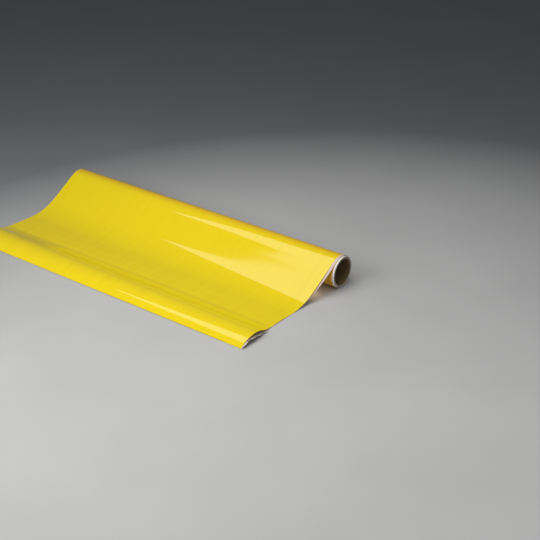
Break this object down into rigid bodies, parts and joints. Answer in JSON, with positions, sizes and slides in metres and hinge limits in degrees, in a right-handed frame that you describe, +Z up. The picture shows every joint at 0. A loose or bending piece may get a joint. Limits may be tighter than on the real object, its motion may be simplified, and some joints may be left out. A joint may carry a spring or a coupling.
{
  "type": "roll of sign vinyl",
  "caption": "Roll of self-adhesive sign film on a release liner, wound on an open spiral-wound paper core, with its free end pulled out over a flat surface.",
  "frame": {"origin": "bottom centre of the whole object's box: on the surface that it lies on, in the middle of its length and of its depth", "axes": "+X along the core towards the end where the core's bore is seen, -Y towards the free end of the sheet, +Z up"},
  "size_m": [1.0266, 0.4664, 0.0931],
  "materials": {
    "vinyl_film": "glossy yellow calendered vinyl",
    "release_liner": "smooth silicone-coated white paper",
    "white_paper": "smooth white core wrap",
    "kraft_board": "rough brown core board",
    "inner_paper": "dark brown kraft paper",
    "tape": "double-sided tape"
  },
  "bodies": {
    "drape": {"liner_drape": "release_liner", "film_drape": "vinyl_film", "liner_laid": "release_liner", "film_laid": "vinyl_film"},
    "roll": {"core_inner_ply": "inner_paper", "core_board_ply_1": "kraft_board", "core_board_ply_2": "kraft_board", "core_board_ply_3": "kraft_board", "core_board_ply_4": "kraft_board", "core_outer_ply": "white_paper", "starter_tape_left": "tape", "starter_tape_middle": "tape", "starter_tape_right": "tape", "liner_wound": "release_liner", "film_wound": "vinyl_film"},
    "sheet": {"liner_front": "release_liner", "film_front": "vinyl_film"},
    "lead": {"liner_lead": "release_liner", "film_lead": "vinyl_film"},
    "peel": {"film_tip": "vinyl_film"}
  },
  "joints": [
    {"name": "roll_spin", "type": "hinge", "parent": "drape", "child": "roll", "pos_m": [0.0083, 0.18666, 0.04647], "axis": [1, 0, 0], "range_deg": [-45, 360]},
    {"name": "sheet_pull", "type": "slide", "parent": "drape", "child": "sheet", "axis": [0, -1, 0], "range_m": [-0.037, 0.295], "deforming": ["film_laid", "liner_laid"]},
    {"name": "lead_lift", "type": "hinge", "parent": "sheet", "child": "lead", "pos_m": [-0.008, -0.09659, 0.00029], "axis": [-1, 0, 0], "range_deg": [0, 70]},
    {"name": "film_peel", "type": "hinge", "parent": "lead", "child": "peel", "pos_m": [-0.0115, -0.16745, 0.01937], "axis": [-1, 0, 0], "range_deg": [0, 110]}
  ],
  "couplings": [
    {"joint": "sheet_pull", "follows": "roll_spin", "m_per_rad": 0.0465}
  ]
}
